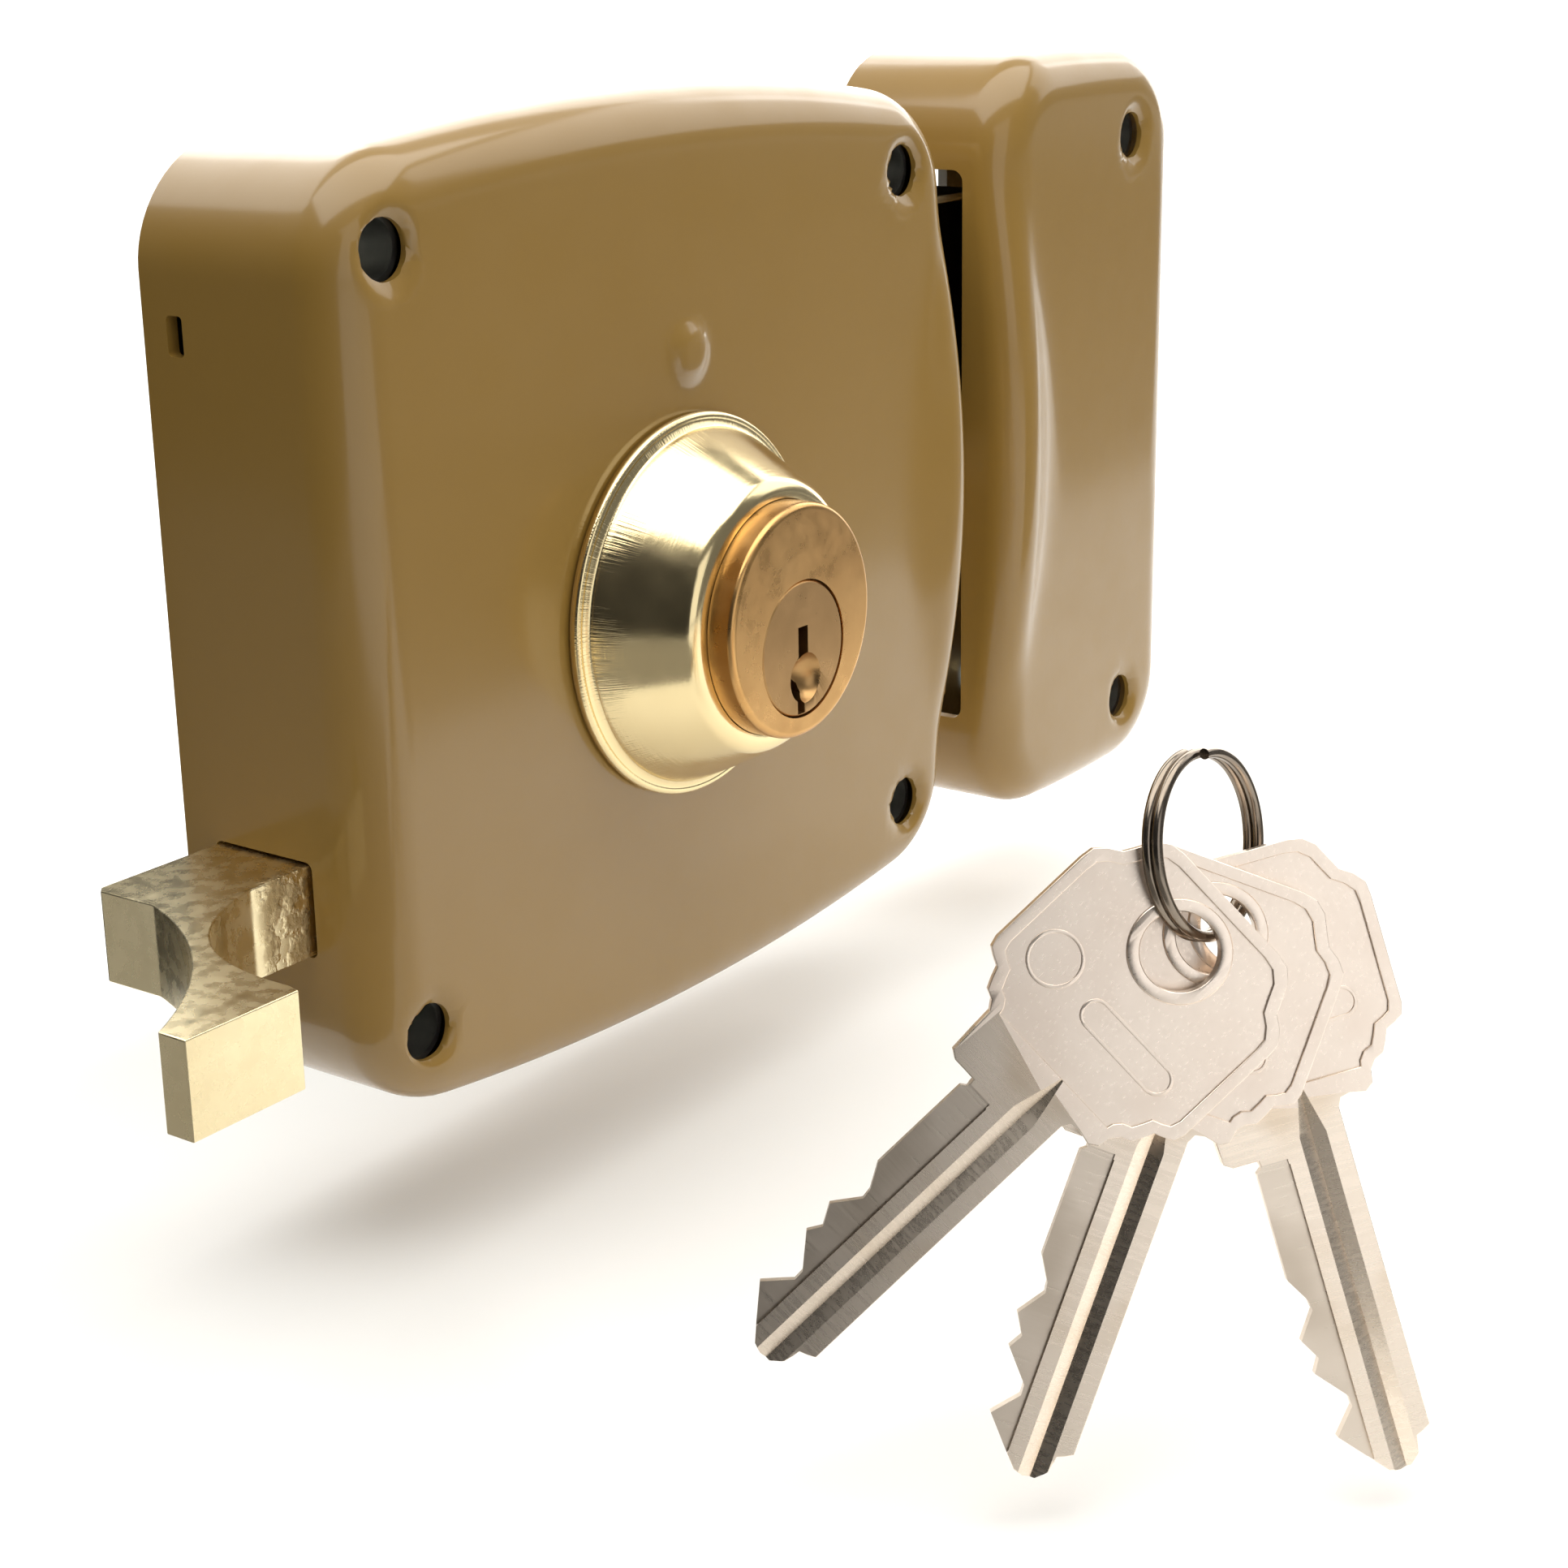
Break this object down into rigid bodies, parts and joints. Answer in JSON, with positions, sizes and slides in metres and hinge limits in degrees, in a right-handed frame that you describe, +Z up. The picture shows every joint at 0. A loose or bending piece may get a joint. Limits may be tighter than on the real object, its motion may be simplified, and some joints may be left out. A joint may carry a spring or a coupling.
{
  "type": "rim night latch",
  "caption": "Surface-mounted night latch with a key-thrown deadbolt, a spring latch on a pull handle, a keeper, two cylinders and a ring of keys.",
  "frame": {"origin": "Where the cylinder axis meets the face of the door, on the rear of the back plate.", "axes": "+Z up, +X from the case towards the keeper, -Y from the door into the room."},
  "size_m": [0.2123, 0.1797, 0.1205],
  "materials": {
    "khaki_paint": "glossy khaki-gold enamel on pressed steel",
    "zinc_steel": "zinc-plated steel",
    "satin_brass": "satin brass plate, spun and lightly brushed",
    "brass": "machined brass with a copper tint",
    "cast_brass": "tumbled cast brass, pale and slightly pitted",
    "nickel": "nickel-plated brass blanks with milled blades",
    "spring_steel": "hard-drawn wire, dark nickel"
  },
  "bodies": {
    "lock_case": {"case_cover": "khaki_paint", "back_plate": "zinc_steel", "screw_tube_1": "zinc_steel", "screw_tube_2": "zinc_steel", "screw_tube_3": "zinc_steel", "screw_tube_4": "zinc_steel", "inner_rose": "satin_brass", "outer_rose": "satin_brass", "inner_cylinder_body": "brass", "outer_cylinder_body": "brass", "cylinder_nut": "zinc_steel", "pin_cover_strip": "brass", "driver_pin_1": "brass", "driver_pin_2": "brass", "driver_pin_3": "brass", "driver_pin_4": "brass", "driver_pin_5": "brass", "pin_spring_1": "spring_steel", "pin_spring_2": "spring_steel", "pin_spring_3": "spring_steel", "pin_spring_4": "spring_steel", "pin_spring_5": "spring_steel", "tail_guide_post": "zinc_steel", "lever_post": "zinc_steel", "lever_spring": "spring_steel", "latch_spring_guide": "zinc_steel", "spring_bracket_left": "zinc_steel", "spring_bracket_right": "zinc_steel", "cylinder_screw_1": "zinc_steel", "cylinder_screw_2": "zinc_steel", "latch_spring": "spring_steel"},
    "inner_plug_set": {"inner_plug": "brass", "plug_clip": "spring_steel", "drive_cam": "zinc_steel", "key_pin_1": "brass", "key_pin_2": "brass", "key_pin_3": "brass", "key_pin_4": "brass", "key_pin_5": "brass"},
    "outer_plug_set": {"outer_plug": "brass", "tailpiece": "zinc_steel"},
    "deadbolt_set": {"deadbolt": "satin_brass"},
    "stop_lever_set": {"stop_lever": "zinc_steel"},
    "spring_latch_set": {"latch_bolt": "satin_brass", "latch_bar": "zinc_steel", "handle": "cast_brass"},
    "keeper_set": {"keeper_cover": "khaki_paint", "keeper_plate": "zinc_steel", "keeper_tube_1": "zinc_steel", "keeper_tube_2": "zinc_steel"},
    "key_ring_set": {"key_ring": "spring_steel"},
    "key_1_set": {"key_1": "nickel"},
    "key_2_set": {"key_2": "nickel"},
    "key_3_set": {"key_3": "nickel"}
  },
  "joints": [
    {"name": "inner_plug_turn", "type": "hinge", "parent": "lock_case", "child": "inner_plug_set", "pos_m": [0, -0.028, -0.0032], "axis": [0, -1, 0], "range_deg": [0, 720]},
    {"name": "outer_plug_turn", "type": "hinge", "parent": "lock_case", "child": "outer_plug_set", "pos_m": [0, 0.03, -0.0032], "axis": [0, -1, 0], "range_deg": [0, 720]},
    {"name": "deadbolt_throw", "type": "slide", "parent": "lock_case", "child": "deadbolt_set", "axis": [1, 0, 0], "range_m": [-0.024, 0]},
    {"name": "stop_lever_swing", "type": "hinge", "parent": "lock_case", "child": "stop_lever_set", "pos_m": [-0.03, -0.0078, 0.024], "axis": [0, -1, 0], "range_deg": [0, 8], "stiffness_Nm_per_rad": 0.05, "springref_deg": -11.46},
    {"name": "latch_slide", "type": "slide", "parent": "lock_case", "child": "spring_latch_set", "axis": [1, 0, 0], "range_m": [-0.013, 0], "stiffness_N_per_m": 300, "springref_m": 0.01, "deforming": ["latch_spring"]},
    {"name": "keeper_gap", "type": "slide", "parent": "lock_case", "child": "keeper_set", "axis": [1, 0, 0], "range_m": [0, 0.045]},
    {"name": "key_ring_carry", "type": "slide", "parent": "lock_case", "child": "key_ring_set", "axis": [0, -1, 0], "range_m": [0, 0.1]},
    {"name": "key_1_swing", "type": "hinge", "parent": "key_ring_set", "child": "key_1_set", "pos_m": [-0.03441, -0.11018, -0.0122], "axis": [-0.777, -0.5583, 0.2907], "range_deg": [-22, 18]},
    {"name": "key_2_swing", "type": "hinge", "parent": "key_ring_set", "child": "key_2_set", "pos_m": [-0.03128, -0.11063, -0.01364], "axis": [-0.777, -0.5583, 0.2907], "range_deg": [-22, 22]},
    {"name": "key_3_swing", "type": "hinge", "parent": "key_ring_set", "child": "key_3_set", "pos_m": [-0.02782, -0.11082, -0.01371], "axis": [-0.777, -0.5583, 0.2907], "range_deg": [-22, 22]}
  ],
  "couplings": [
    {"joint": "inner_plug_turn", "follows": "deadbolt_throw", "rad_per_m": -523.6},
    {"joint": "outer_plug_turn", "follows": "deadbolt_throw", "rad_per_m": -523.6}
  ]
}
